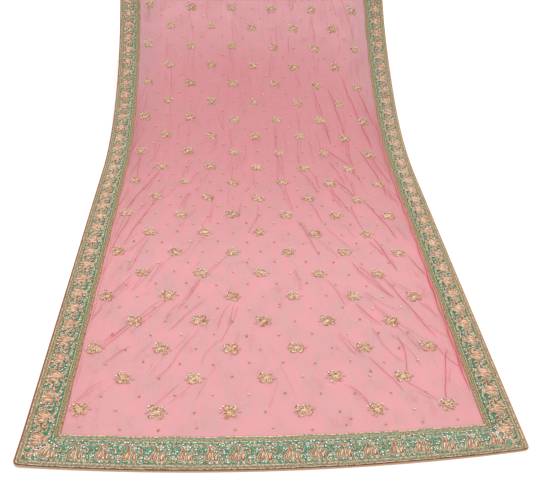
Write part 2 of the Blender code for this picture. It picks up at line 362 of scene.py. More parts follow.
chance = np.random.default_rng(11)
SPRIGS = sprig_places()
SPRIGS = SPRIGS + chance.normal(0.0, SPRIG_STRAY, SPRIGS.shape)

# The largest folds, from the far end of each to its near end.  "bend" is how far the middle
# bows towards + across, "height" that of the ridge; in millimetres.
Crease = namedtuple("Crease", "far_across far_along near_across near_along bend height")
FOLD_ROWS = (
    # the sweep, right side
    (304, 1690, 341, 1530, 8, 1.9),
    (202, 1620, 209, 1490, 0, 1.6),
    (189, 1315, 220, 1110, 3, 2.4),
    (239, 1315, 278, 1060, 6, 2.4),
    (287, 1370, 346, 1080, 6, 2.8),
    (339, 1330, 380, 1150, 0, 2.4),
    (203, 1055, 267, 970, 0, 2.6),
    (307, 1045, 347, 830, 12, 2.6),
    # the sweep, middle and left
    (-286, 1450, -280, 1130, 0, 1.6),
    (-213, 1490, -208, 1350, 0, 1.5),
    (-86, 1485, -85, 1350, 0, 1.5),
    (70, 1620, 76, 1490, 0, 1.5),
    (-362, 1340, -382, 1250, 0, 1.6),
    (-361, 1020, -357, 880, 0, 1.8),
    (-86, 1010, -86, 890, 0, 1.6),
    (52, 1020, 46, 895, 0, 1.6),
    # the floor, left side
    (-295, 925, -379, 710, -4, 2.2),
    (-290, 790, -350, 615, -3, 2.2),
    (-352, 715, -382, 585, 0, 2.0),
    (-296, 625, -328, 510, 0, 2.0),
    (-232, 405, -345, 275, -4, 1.9),
    (-320, 490, -362, 415, 0, 1.9),
    # the floor, right side
    (214, 900, 268, 790, 2, 2.5),
    (277, 800, 338, 640, 4, 2.5),
    (281, 632, 313, 515, 0, 2.5),
    (274, 490, 352, 305, 0, 2.4),
    (211, 535, 286, 425, -6, 2.2),
    (271, 300, 270, 205, 6, 2.2),
    (370, 260, 335, 130, -4, 2.2),
    # beside the seams, where the net is eased into the borders
    (386, 1420, 386, 1120, 0, 1.4),
    (384, 1180, 386, 780, -1, 2.4),
    (385, 840, 386, 430, 1, 2.7),
    (384, 480, 386, 170, 0, 2.7),
    (-386, 1300, -386, 960, 0, 1.4),
    (-385, 700, -386, 360, 0, 1.4),
    # near the rod and behind it
    (-300, 2080, -285, 1860, 0, 2.6),
    (-150, 2060, -148, 1800, 0, 2.2),
    (60, 2075, 66, 1850, 0, 2.4),
    (270, 2080, 300, 1820, 4, 2.8),
    (-10, 1900, -8, 1700, 0, 2.0),
    (180, 1880, 198, 1680, 3, 2.4),
    (-340, 1900, -330, 1720, 0, 2.0),
    (350, 1960, 362, 1760, 0, 2.2),
)

# Between them finer creases run down from the sprigs: straight along high up, and slanting out
# to the near corners lower down.  A row for each stretch of the net: its sides, its near and
# far ends, how many creases it has, and between what their lengths and heights lie.
Stretch = namedtuple("Stretch", "left right near far creases lengths heights")
STRETCHES = (
    # the sweep, high up
    Stretch(-0.38, 0.12, 1.20, 1.68, 10, (0.07, 0.12), (0.0012, 0.0016)),
    Stretch(0.12, 0.38, 1.25, 1.72, 13, (0.06, 0.10), (0.0015, 0.0020)),
    # the sweep, lower down
    Stretch(-0.38, 0.05, 0.66, 1.20, 19, (0.06, 0.12), (0.0012, 0.0018)),
    Stretch(0.05, 0.38, 0.66, 1.25, 22, (0.06, 0.15), (0.0014, 0.0025)),
    # the floor
    Stretch(-0.38, -0.02, 0.14, 0.66, 28, (0.05, 0.12), (0.0011, 0.0018)),
    Stretch(0.10, 0.38, 0.14, 0.66, 18, (0.05, 0.10), (0.0013, 0.0022)),
)
SPRIG_HOLDS = (0.016, 0.026)  # net is flat this near a sprig, and free beyond
SLANT_MOST = 0.95  # radians off straight
SLANT_HALF = 0.10  # across, to where the slant is half of its most
SLANT_STARTS = 1.3  # along, from where the creases begin to slant
SLANT_STRAY = 0.12  # radians, how far single creases stray from that
START_STRAY = 0.010  # how far their starts stray
FINE_BEND = 0.0030


def slant(across, along):
    """The angle outwards from straight along: SLANT_MOST, by across over its own size plus
    SLANT_HALF, and by the distance to where the slant starts, up to a metre."""
    share = across / (np.abs(across) + SLANT_HALF)
    return SLANT_MOST * share * np.clip(SLANT_STARTS - along, 0, 1)


def fine_creases():
    """Each starts by a sprig, on its near side, and runs towards the near end for a length
    drawn at random, at the slant of the net there, give or take a little."""
    draw = np.random.default_rng(23)
    made = []
    across, along = SPRIGS.T
    for stretch in STRETCHES:
        inside = (across > stretch.left) & (across < stretch.right)
        inside = SPRIGS[inside & (along > stretch.near) & (along < stretch.far)]
        taken = np.resize(draw.permutation(len(inside)), stretch.creases)
        start = inside[taken] + draw.normal(0, START_STRAY, (stretch.creases, 2))
        turn = slant(*start.T) + draw.normal(0, SLANT_STRAY, stretch.creases)
        aim = np.stack([np.sin(turn), -np.cos(turn)], axis=1)
        start = start + SPRIG_HOLDS[1] * aim
        end = start + draw.uniform(*stretch.lengths, stretch.creases)[:, None] * aim
        bend = draw.normal(0, FINE_BEND, stretch.creases)
        height = draw.uniform(*stretch.heights, stretch.creases)
        made += [Crease(*row) for row in np.column_stack([start, end, bend, height])]
    return made


CREASES = [Crease(*(size / 1000 for size in row)) for row in FOLD_ROWS] + fine_creases()
RIDGE_HALF_WIDTH = 2.6  # heights
NET_THICK = 0.0009
NET_ACROSS = 168
NET_TUCK = 0.0012  # how far the net reaches under the border
NET_STEP = 0.0052
FULL_RIDGE_SHADE = 0.0110  # height at which a ridge's painted shade would be deepest


def sewn_flat(across, along):
    """0 on a sprig, where the stitches hold the net flat, rising by a smooth step to 1 clear
    of every sprig."""
    nearest = np.full(np.shape(across), 1.0)
    for centre_across, centre_along in SPRIGS:
        nearest = np.minimum(nearest, np.hypot(across - centre_across, along - centre_along))
    share = np.clip((nearest - SPRIG_HOLDS[0]) / (SPRIG_HOLDS[1] - SPRIG_HOLDS[0]), 0, 1)
    return share * share * (3 - 2 * share)


def net_ridges(across, along):
    """Height of the creases: along each, the sine of the share run; across it, a raised cosine."""
    highest = np.zeros_like(across)
    for crease in CREASES:
        run = np.array(crease[2:4]) - crease[:2]
        length = np.hypot(*run)
        run = run / length
        x = across - crease.far_across
        y = along - crease.far_along
        share = np.clip((x * run[0] + y * run[1]) / length, 0, 1)
        off = y * run[0] - x * run[1] - 4 * crease.bend * share * (1 - share)
        swell = np.sin(np.pi * share)
        half_width = RIDGE_HALF_WIDTH * crease.height
        ridge = 0.5 + 0.5 * np.cos(np.pi * np.clip(off / half_width, -1, 1))
        highest = np.maximum(highest, crease.height * swell * ridge)
    return highest


def grid_faces(rows, columns):
    """The quads of a grid whose points are numbered row by row."""
    first = np.arange(rows - 1)[:, None] * columns + np.arange(columns - 1)
    return np.stack([first, first + 1, first + columns + 1, first + columns], axis=-1).reshape(-1, 4)


def stations(start, end, step):
    """Distances along, evenly spaced but four times closer round the rod."""
    marks = [start, WRAP_START, WRAP_END, end]
    runs = [
        np.linspace(low, high, max(2, round((high - low) / gap) + 1))
        for low, high, gap in zip(marks, marks[1:], (step, step / 4, step))
    ]
    return np.unique(np.concatenate(runs))


NET_PINK = paint(217, 125, 131)
NET_ASHEN = paint(198, 136, 136)
# Painted shade for the net up the sweep.
NET_SWEEP_SHADE = paint(181, 110, 117)
# Painted shade for the net beside the seams up the sweep.
NET_SEAM_SHADE = paint(158, 109, 112)  # beside the seams, where it hangs
NET_DEEP = paint(200, 62, 70)
# Painted highlight, for the pale puckers and folds.
NET_HIGHLIGHT = paint(242, 182, 182)
NET_OPACITY = 0.66
NET_MESH = 0.0012  # from one thread to the next
SWEEP_SHADE_SPAN = (0.55, 1.45)  # along, from where to where the net is painted darker and more opaque up the sweep, as painted shade


def net_finish(name, opacity, deep, pink=NET_PINK, ashen=NET_ASHEN):
    """Sheer net: crossed threads from two sines of the cut, clouded by noise, with painted highlight
    and shade in streaks and painted shade in wrinkle lines, and deeper by the tone of each point.
    Painted shade darkens it up the sweep, in lines of fold shade there and beside the seams, and on
    the floor it is darker towards the seams.  Opacity is (plain, more of it by tone, and more of it
    up the sweep)."""
    made, wire, shader = new_finish(name, Roughness=0.62, Sheen_Weight=0.15, Sheen_Roughness=0.4)
    cut, x, y = wire.cut()
    threads = x.wave(NET_MESH).math("MAXIMUM", y.wave(NET_MESH))
    clouds = wire.noise(cut, 0.055, 4.0)
    # Painted highlight and shade in streaks along the length, for the net's fine folds.
    drawn_out = wire.node("Mapping", None, {"Vector": cut, "Scale": (1.0, 0.14, 1.0)})
    streak_shading = wire.noise(drawn_out, 0.011, 3.0)
    # Painted shade in thin wrinkle lines, on the part that lies on the floor.
    squeezed = wire.node("Mapping", None, {"Vector": cut, "Scale": (1.0, 0.5, 1.0)})
    wrinkle_shade = (wire.noise(squeezed, 0.045) - 0.5).math("ABSOLUTE").step(0.0, 0.016)
    wrinkle_shade = (1 - wrinkle_shade) * clouds.step(0.44, 0.56)
    # Painted shade in thin lines along the sweep, for the folds of the hanging net.
    hung_out = wire.node("Mapping", None, {"Vector": cut, "Scale": (1.0, 0.03, 1.0)})
    hung_shade_lines = (wire.noise(hung_out, 0.016, 1.0) - 0.5).math("ABSOLUTE").step(0.0, 0.035)
    tone = wire.node("Attribute", {"attribute_name": "tone"}, output=2)
    # Darker towards the seams; up the sweep this is painted shade.
    by_seam = x.math("ABSOLUTE").step(0.30, 0.394)
    # Painted shade up the sweep, where less light falls on the net; it is made more opaque there
    # too.
    up_the_sweep = y.step(*SWEEP_SHADE_SPAN)
    plain_colour = (2.3 * clouds + 1.9 * streak_shading - 1.6).mix(pink, ashen)
    plain_colour = (0.70 * up_the_sweep).mix(plain_colour, NET_SWEEP_SHADE)
    plain_colour = (0.6 * by_seam * up_the_sweep).mix(plain_colour, NET_SEAM_SHADE)
    depth = deep + 0.8 * tone + 0.22 * by_seam * (1 - up_the_sweep)
    depth = depth + (0.5 + 0.4 * up_the_sweep) * (streak_shading - 0.5) + 0.26 * wrinkle_shade * (1 - up_the_sweep)
    depth = depth + 0.20 * up_the_sweep * (1 - hung_shade_lines)
    depth.clamped().mix(plain_colour, NET_DEEP).feed(shader, "Base Color")
    plain, by_tone, by_sweep = opacity
    sheer = plain + 0.08 * threads + by_tone * tone + 0.14 * (clouds - 0.5)
    (sheer + by_sweep * up_the_sweep + 0.06 * wrinkle_shade).feed(shader, "Alpha")
    threads.bump(0.0002, 0.5).feed(shader, "Normal")
    return made


net_cloth = net_finish("sheer pink net", (NET_OPACITY - 0.05, 0.12, 0.24), -0.05)

net_along = stations(BORDER - NET_TUCK, LENGTH - BORDER + NET_TUCK, NET_STEP)
net_across = np.linspace(-1, 1, NET_ACROSS) * (HALF_WIDTH - BORDER + NET_TUCK)
across, along = (part.ravel() for part in np.meshgrid(net_across, net_along))
# The ridges' heights give the net its tone: a painted shade along each ridge.
ridges = net_ridges(across, along) * sewn_flat(across, along)
net_panel = new_piece(
    "pink_net",
    placed(across, along, NET_THICK + ridges),
    grid_faces(len(net_along), NET_ACROSS),
    [net_cloth],
    uv=np.stack([across, along], axis=1),
    tones=np.clip(ridges / FULL_RIDGE_SHADE, 0, 1),
)
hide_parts("net_panel")

# ---------------------------------------------------------------- pinched crests
# Along the crest of each crease the net is pinched double, and beside some a finer pinch runs.
# Round the sprigs short puckers take a painted highlight, and strips of painted shade or
# highlight for soft folds lie between them all.

PINCH_STEP = 0.006
PINCH_WOBBLE = 0.0011
PINCH_PAST = (0.07, 0.09)  # how far a crest runs on past its crease, far and near, as a share
PINCH_CLEAR = 0.0045  # how far one ends from the border
FULL_CREASE = 0.0026  # height of a crease whose crest is at full width
CREST = (0.0017, 0.0006)  # half width and height of such a crest
FINER = (0.0015, 0.0004)
FINER_TONES = (0.20, 0.50)
BESIDE = (0.005, 0.013)  # how far off its crease a finer pinch runs
PUCKER = (0.0017, 0.0004)
PUCKER_HIGHLIGHT = 0.45
PUCKER_SHARE = 0.35  # of the sprigs' diagonals
PUCKER_DIAGONALS = (40, 140, 220, 320)
PUCKER_START = 0.020
PUCKER_LENGTHS = (0.014, 0.040)
# Soft folds: near-flat strips of painted shade, or of painted highlight in the near part.
SOFT_FOLDS = 200
SOFT_LENGTHS = (0.040, 0.140)
SOFT_HALF_WIDTHS = (0.0028, 0.0062)
SOFT_HEIGHT = 0.0003
SOFT_TONES = (0.10, 0.30)
HIGH_UP = (0.80, 1.25)  # along, from where to where the finer ones fade and turn straight

Pinch = namedtuple("Pinch", "start end bend half_width height tone kind")
# Kinds of pinch: pinched double, painted fold shade and painted fold highlight.
SHARP, FOLD_SHADE, FOLD_HIGHLIGHT = range(3)


def aimed(turn):
    """The unit step in the plane at this angle, in radians."""
    return np.array([math.cos(turn), math.sin(turn)])


def crests():
    """The crest of each crease, and beside about half of them a finer pinch."""
    made = []
    for crease in CREASES:
        start, end = np.array(crease[:2]), np.array(crease[2:4])
        size = crease.height / FULL_CREASE
        tone = min(1.0, 0.90 * size**1.5)
        run = end - start
        ends = start - PINCH_PAST[0] * run, end + PINCH_PAST[1] * run
        made.append(Pinch(*ends, crease.bend, CREST[0] * size, CREST[1], tone, SHARP))
        if chance.integers(0, 2):
            low, high = chance.uniform(-0.1, 0.4), chance.uniform(0.6, 1.1)
            off = chance.choice([-1, 1]) * chance.uniform(*BESIDE) * np.array([-run[1], run[0]])
            off = off / np.hypot(*run)
            ends = start + low * run + off, start + high * run + 0.6 * off
            high_up = np.interp(end[1], HIGH_UP, (0, 1))
            tone = chance.uniform(*FINER_TONES) * (1 - 0.5 * high_up)
            made.append(Pinch(*ends, 0.8 * crease.bend, *FINER, tone, SHARP))
    return made


def puckers():
    """Short pinches painted pale, as painted highlight, that run out from the sprigs of the near
    part, on about a third of their diagonals."""
    made = []
    for centre in SPRIGS:
        for degrees in PUCKER_DIAGONALS:
            if chance.random() < PUCKER_SHARE and centre[1] < HIGH_UP[0]:
                aim = aimed(math.radians(degrees + chance.normal(0, 14)))
                start = centre + PUCKER_START * aim
                end = start + chance.uniform(*PUCKER_LENGTHS) * aim
                bend = chance.normal(0, 0.0015)
                made.append(Pinch(start, end, bend, *PUCKER, PUCKER_HIGHLIGHT, FOLD_HIGHLIGHT))
    return made


def soft_folds():
    """Wide faint folds, as near-flat strips of painted shade or painted highlight, strewn at random
    over the panel at the slant of the net there, give or take a little: shade or highlight in the
    near part, and fainter and shade alone high up."""
    made = []
    room = np.array([HALF_WIDTH - BORDER - 0.02, LENGTH - BORDER - 0.08])
    for centre in chance.uniform([-room[0], BORDER + 0.06], room, (SOFT_FOLDS, 2)):
        high_up = np.interp(centre[1], HIGH_UP, (0, 1))
        turn = math.pi / 2 + slant(*centre) + chance.normal(0, 0.16) * (1 - 0.7 * high_up)
        reach = 0.5 * chance.uniform(*SOFT_LENGTHS) * aimed(turn)
        kind = FOLD_SHADE if high_up else int(chance.choice([FOLD_SHADE, FOLD_HIGHLIGHT]))
        width = chance.uniform(*SOFT_HALF_WIDTHS)
        bend = chance.normal(0, 0.003)
        tone = chance.uniform(*SOFT_TONES) * (1 - 0.5 * high_up)
        made.append(Pinch(centre - reach, centre + reach, bend, width, SOFT_HEIGHT, tone, kind))
    return made


def clear_of_border(pinch):
    """The pinch, with each end that comes too close to the border moved straight in from it."""
    inset = BORDER + PINCH_CLEAR
    low, high = np.array([[inset - HALF_WIDTH, inset], [HALF_WIDTH - inset, LENGTH - inset]])
    return pinch._replace(start=np.clip(pinch.start, low, high), end=np.clip(pinch.end, low, high))


def pinch_strip(pinch):
    """Points, faces and tones of one pinch: a low tent with bare edges that wavers by a sine
    and bows by a parabola.  Its width, height and tone are full but for the two ends, where
    they fall as the square root of three times a sine of the share run."""
    run = pinch.end - pinch.start
    length = np.hypot(*run)
    count = max(4, round(length / PINCH_STEP))
    share = np.linspace(0.02, 0.98, count)
    to_plus = np.array([-run[1], run[0]]) / length
    swell = np.sqrt(np.minimum(1.0, 3 * np.sin(np.pi * share)))
    waver = PINCH_WOBBLE * np.sin(length * 70 * share + 40 * pinch.start[0])
    off = 4 * pinch.bend * share * (1 - share) + waver * min(1.0, length / 0.1)
    aside = np.array([-1, 0, 1]) * (pinch.half_width * swell)[:, None] + off[:, None]
    flat = pinch.start + share[:, None, None] * run + aside[..., None] * to_plus
    height = np.array([0, 1, 0]) * (pinch.height * swell)[:, None] + 0.0002
    points = np.concatenate([flat, height[..., None]], axis=-1).reshape(-1, 3)
    tones = (np.array([0, 1, 0]) * (pinch.tone * swell)[:, None]).ravel()
    return points, grid_faces(count, 3), tones


pinches = [clear_of_border(pinch) for pinch in crests() + puckers() + soft_folds()]
strips = [pinch_strip(pinch) for pinch in pinches]
starts = np.cumsum([0] + [len(points) for points, faces, tones in strips[:-1]])
flat = np.concatenate([points for points, faces, tones in strips])
ridge = net_ridges(flat[:, 0], flat[:, 1]) * sewn_flat(flat[:, 0], flat[:, 1])
net_creases = new_piece(
    "net_creases",
    placed(flat[:, 0], flat[:, 1], NET_THICK + ridge + flat[:, 2]),
    np.concatenate([faces + start for (points, faces, tones), start in zip(strips, starts)]),
    [
        net_finish("pinched net", (-0.08, 1.15, 0.0), 0.4),
        net_finish("painted fold shade on net", (-0.06, 0.90, 0.0), 0.1),
        net_finish("painted pucker highlight on net", (-0.06, 0.90, 0.0), -0.9, NET_HIGHLIGHT, NET_HIGHLIGHT),
    ],
    uv=flat[:, :2],
    which=np.concatenate(
        [np.full(len(faces), pinch.kind) for pinch, (points, faces, tones) in zip(pinches, strips)]
    ),
    tones=np.concatenate([tones for points, faces, tones in strips]),
)

# ---------------------------------------------------------------- sprigs
# Each sprig is four padded petals of dull gold purl set crosswise, short bars of cut purl over
# them and the middle, an amber bead in each, a thread leaf at either side and a few sequins.

Part = namedtuple("Part", "points faces uv which")
ROUND_CORD = np.array([[-1.0, 0.0], [-0.78, 0.7], [0.0, 1.0], [0.78, 0.7], [1.0, 0.0]])
FINE_CORD = np.array([[-1.0, 0.0], [0.0, 1.0], [1.0, 0.0]])


def triangles(quads):
    """Each quad as two triangles."""
    return np.concatenate([quads[:, [0, 1, 2]], quads[:, [0, 2, 3]]])


def outwards(points, faces):
    """The faces, turned over if the closed shape they bound has a negative volume."""
    a, b, c = (points[faces[:, i]] for i in range(3))
    volume = np.einsum("ij,ij->", a, np.cross(b, c))
    return faces[:, ::-1] if volume < 0 else faces


def cord(path, half_width, height, which=0, closed=False, lift=0.0, tip=0.35, section=ROUND_CORD):
    """A couched cord: an arched section with a flat foot, carried square to a path in the
    plane.  An open one tapers to its tips by the square root of a sine."""
    path = np.asarray(path, float)
    count, sides = len(path), len(section)
    if closed:
        tangent = np.roll(path, -1, axis=0) - np.roll(path, 1, axis=0)
        size = np.ones(count)
    else:
        tangent = np.gradient(path, axis=0)
        size = tip + (1 - tip) * np.sqrt(np.sin(np.linspace(0.0, np.pi, count)).clip(0))
    tangent = tangent / np.hypot(*tangent.T)[:, None]
    to_right = np.stack([tangent[:, 1], -tangent[:, 0]], axis=1)
    aside = section[None, :, 0] * (half_width * size)[:, None]
    up = lift + section[None, :, 1] * (height * size)[:, None]
    flat = path[:, None] + aside[..., None] * to_right[:, None]
    points = np.concatenate([flat, up[..., None]], axis=-1).reshape(-1, 3)
    ring = np.arange(count if closed else count - 1)[:, None]
    side = np.arange(sides)[None, :]
    here, there = ring * sides, (ring + 1) % count * sides
    beside = (side + 1) % sides
    corners = np.stack([here + side, here + beside, there + beside, there + side], axis=-1)
    faces = triangles(corners.reshape(-1, 4))
    if not closed:
        fan = np.array([[0, i + 1, i] for i in range(1, sides - 1)])
        faces = np.concatenate([faces, fan, fan[:, ::-1] + (count - 1) * sides])
    run = np.concatenate([[0], np.cumsum(np.hypot(*np.diff(path, axis=0).T))])
    uv = np.stack(np.broadcast_arrays(run[:, None], np.linspace(0, 1, sides)[None]), axis=-1)
    return Part(points, outwards(points, faces), uv.reshape(-1, 2), np.full(len(faces), which))


def ball(centre, reach, turn=0.0, which=0, sides=6, bands=4):
    """A bead: an ellipsoid with this reach (long, wide, high), its foot on the cloth."""
    tilt = np.linspace(0, np.pi, bands + 1)[1:-1]
    around = np.arange(sides) * 2 * np.pi / sides
    tilt, around = (part.ravel() for part in np.meshgrid(tilt, around, indexing="ij"))
    unit = np.stack([np.sin(tilt) * np.cos(around), np.sin(tilt) * np.sin(around), np.cos(tilt)], 1)
    unit = np.concatenate([unit, [[0, 0, 1], [0, 0, -1]]])
    points = unit * reach
    spin = np.array([[math.cos(turn), math.sin(turn)], [-math.sin(turn), math.cos(turn)]])
    points[:, :2] = points[:, :2] @ spin + centre[:2]
    points[:, 2] += reach[2] + (centre[2] if len(centre) > 2 else 0.0)
    count = (bands - 1) * sides
    first, beside = np.arange(sides), (np.arange(sides) + 1) % sides
    low, high = count - sides, np.arange(bands - 2)[:, None] * sides
    lower = high + sides
    rings = np.broadcast_arrays(high + first, lower + first, lower + beside, high + beside)
    quads = np.stack(rings, -1).reshape(-1, 4)
    caps = np.concatenate(
        [
            np.stack([np.full(sides, count), first, beside], 1),
            np.stack([np.full(sides, count + 1), low + beside, low + first], 1),
        ]
    )
    faces = np.concatenate([triangles(quads), caps])
    uv = np.stack([unit[:, 0] * reach[0], unit[:, 1] * 0.5 + 0.5], axis=1)
    return Part(points, outwards(points, faces), uv, np.full(len(faces), which))


def sequin(centre, radius, which=0, lift=0.0006, cup=0.0005):
    """A cupped sequin: six edge points round a raised rim and a lower middle, and a foot."""
    around = np.arange(6) * np.pi / 3
    rim = np.stack([np.cos(around) * radius, np.sin(around) * radius, np.full(6, lift + cup)], 1)
    points = np.concatenate([rim, [[0, 0, lift], [0, 0, lift - 0.0003]]])
    points[:, :2] += centre
    side = np.arange(6)
    beside = (side + 1) % 6
    faces = np.concatenate(
        [np.stack([side, beside, np.full(6, 6)], 1), np.stack([beside, side, np.full(6, 7)], 1)]
    )
    uv = points[:, :2] - centre
    return Part(points, outwards(points, faces), uv, np.full(len(faces), which))


def together(parts):
    """Several parts as one."""
    starts = np.cumsum([0] + [len(part.points) for part in parts[:-1]])
    return Part(
        np.concatenate([part.points for part in parts]),
        np.concatenate([part.faces + start for part, start in zip(parts, starts)]),
        np.concatenate([part.uv for part in parts]),
        np.concatenate([part.which for part in parts]),
    )


def sewn(name, designs, spots, base, finishes):
    """Copies of the designs, joined: a spot is (across, along, turn, size, design), and base
    the height of the cloth there.  Each point is turned, moved, then placed with the cloth."""
    parts = []
    for number, design in enumerate(designs):
        chosen = spots[:, 4] == number
        at, high = spots[chosen], base[chosen]
        cos, sin = np.cos(at[:, 2])[:, None], np.sin(at[:, 2])[:, None]
        x, y, z = (design.points[:, i][None] * at[:, 3][:, None] for i in range(3))
        across = (at[:, 0][:, None] + x * cos - y * sin).ravel()
        along = (at[:, 1][:, None] + x * sin + y * cos).ravel()
        out = (high[:, None] + z).ravel()
        moved = placed(across, along, out)
        starts = np.arange(len(at))[:, None, None] * len(design.points)
        faces = (design.faces[None] + starts).reshape(-1, 3)
        uv, which = np.tile(design.uv, (len(at), 1)), np.tile(design.which, len(at))
        parts.append(Part(moved, faces, uv, which))
    whole = together(parts)
    return new_piece(name, whole.points, whole.faces, finishes, uv=whole.uv, which=whole.which)


def arc(centre, radius, start, end, count):
    """Points on a circle, from one angle in degrees to another."""
    angle = np.radians(np.linspace(start, end, count))
    return np.stack([centre[0] + radius * np.cos(angle), centre[1] + radius * np.sin(angle)], 1)


def metal_thread(name, light, dark, pitch, roughness, patch=0.007, metallic=0.0):
    """Wound metal thread: slanting turns from a sine of the cord's own length and girth, and
    lit in patches of this size, from the dark colour to the light."""
    made, wire, shader = new_finish(name, Metallic=metallic, Roughness=roughness)
    length, girth = wire.cut()[1:]
    turns = (length + girth * pitch).wave(pitch)
    patchy = wire.noise(wire.node("TexCoord", output=3), patch, 3.0)
    shine = (0.30 * turns + 0.75 * patchy.step(0.40, 0.60) + 0.02).math("MINIMUM", 1.0)
    shine.mix(paint(*dark), paint(*light)).feed(shader, "Base Color")
    turns.bump(0.0003, 0.8).feed(shader, "Normal")
    return made


purl_gold = metal_thread("dull gold purl", (250, 226, 188), (182, 116, 74), 0.0009, 0.4, 0.0042)
bar_gold = metal_thread("bright cut purl", (255, 246, 226), (220, 168, 128), 0.0011, 0.3, 0.0042)
amber = metal_thread("amber bead", (226, 170, 112), (164, 106, 64), 0.0020, 0.2)
leaf_thread = metal_thread("faded leaf thread", (226, 178, 158), (200, 150, 132), 0.0007, 0.6)
clear_sequin = metal_thread("clear sequin", (255, 255, 255), (252, 250, 244), 0.0020, 0.12)

PETAL_TURNS = (48, 135, 222, 312)  # degrees round from the right
PETAL_REACH = 0.0108
PETAL_RADIUS = 0.0067
PETAL_BARS = 8
PETAL_BEAD = (0.0017, 0.0013, 0.0018)
MIDDLE_PAD = (0.0084, 0.0058, 0.0006)
MIDDLE_BARS = 18
PETAL_BAR = {"half_width": 0.0012, "height": 0.0022, "lift": 0.0004}
MIDDLE_BAR = {"half_width": 0.0012, "height": 0.0020, "lift": 0.0008}
SPRIG_SEQUINS = ((-0.0112, 0.0112, 0.0021), (-0.0146, 0.0040, 0.0016), (0.0034, 0.0116, 0.0014))
PURL, BAR, AMBER, LEAF, CLEAR = range(5)


def sprig_design(seed):
    """Four petals on the diagonals, each a pad under short curved bars and an amber bead; more
    bars on a pad over the middle, a leaf at either side and three sequins."""
    draw = np.random.default_rng(seed)
    parts = []
    for degrees in PETAL_TURNS:
        turn = math.radians(degrees + draw.normal(0, 6))
        centre = aimed(turn) * (PETAL_REACH + draw.normal(0, 0.0013))
        reach = (draw.uniform(0.0050, 0.0068), draw.uniform(0.0042, 0.0060), 0.0005)
        parts.append(ball(centre, reach, turn, which=PURL, sides=8, bands=3))
        for place in np.linspace(0, 360, PETAL_BARS + 1)[:-1] + math.degrees(turn):
            radius = PETAL_RADIUS * draw.uniform(0.45, 1.12)
            bar = arc(centre, radius, place, place + draw.uniform(45, 90), 3)
            bar = bar + draw.normal(0, 0.0005, 2)
            which = int(draw.choice([BAR, BAR, PURL, AMBER]))
            parts.append(cord(bar, which=which, section=FINE_CORD, **PETAL_BAR))
        parts.append(ball(centre, PETAL_BEAD, turn, which=AMBER, bands=3))
    parts.append(ball(np.zeros(2), MIDDLE_PAD, draw.normal(0, 0.5), which=PURL, bands=3))
    for _ in range(MIDDLE_BARS):
        aim = aimed(draw.uniform(0, np.pi)) * draw.uniform(0.0016, 0.0032)
        line = draw.normal(0, 0.0050, 2) + np.array([-1, 0, 1])[:, None] * aim
        which = int(draw.choice([BAR, BAR, PURL, AMBER]))
        parts.append(cord(line, which=which, section=FINE_CORD, **MIDDLE_BAR))
    for way in (-1, 1):
        share = np.linspace(0, 1, 5)
        leaf = np.stack([way * (0.0130 + 0.0085 * share), 0.0014 * np.sin(3 * share + seed)], 1)
        parts.append(cord(leaf, 0.0020, 0.0006, which=LEAF, tip=0.15, section=FINE_CORD))
    for x, y, radius in SPRIG_SEQUINS:
        place = np.array([x, y]) + draw.normal(0, 0.0018, 2)
        parts.append(sequin(place, radius, which=CLEAR, lift=0.0018))
    return together(parts)


SPRIG_DESIGNS = [sprig_design(seed) for seed in range(6)]
sprig_spots = np.column_stack(
    [
        SPRIGS,
        np.radians(chance.normal(0.0, 9.0, len(SPRIGS))),
        chance.normal(1.0, 0.04, len(SPRIGS)),
        chance.integers(0, len(SPRIG_DESIGNS), len(SPRIGS)),
    ]
)
sewn(
    "sprigs",
    SPRIG_DESIGNS,
    sprig_spots,
    np.full(len(SPRIGS), NET_THICK),
    [purl_gold, bar_gold, amber, leaf_thread, clear_sequin],
)

# ---------------------------------------------------------------- loose beads
# Single long beads sewn to the net midway between sprigs, level with them and on the slant,
# with an uneven row by the border.

BEAD_REACH = (0.0028, 0.0020, 0.0016)
PEARL_SHARE = 0.14
PALE_FROM = 0.70  # along, from where the beads are paler ones
DOUBLE_SHARE = 0.05
DOUBLE_GAP = (0.004, 0.011)
BEAD_STRAY = 0.0028
EDGE_ROW = 0.084  # from the outer edge to the row by each end border
EDGE_REACH = 0.36  # across, to its last bead
EDGE_PITCH = 0.0705
# The least and the most of the gap between two neighbouring sprigs, each (across, along).
SLANTING = ((-0.10, 0.04), (0.10, 0.11))
LEVEL = ((0.10, -0.02), (0.18, 0.02))


def bead_places():
    """Midway between each two sprigs that are neighbours on the slant or in a row, and evenly
    spaced in a row by each end border."""
    gap = SPRIGS[None] - SPRIGS[:, None]
    slanting, level = (((gap > low) & (gap < high)).all(-1) for low, high in (SLANTING, LEVEL))
    first, second = np.nonzero(slanting | level)
    middles = (SPRIGS[first] + SPRIGS[second]) / 2
    edge_across = np.arange(-EDGE_REACH, EDGE_REACH + 0.01, EDGE_PITCH)
    near = np.stack([edge_across, np.full(len(edge_across), EDGE_ROW)], axis=1)
    far = near * [1, -1] + [0, LENGTH]
    return np.concatenate([middles, near, far])


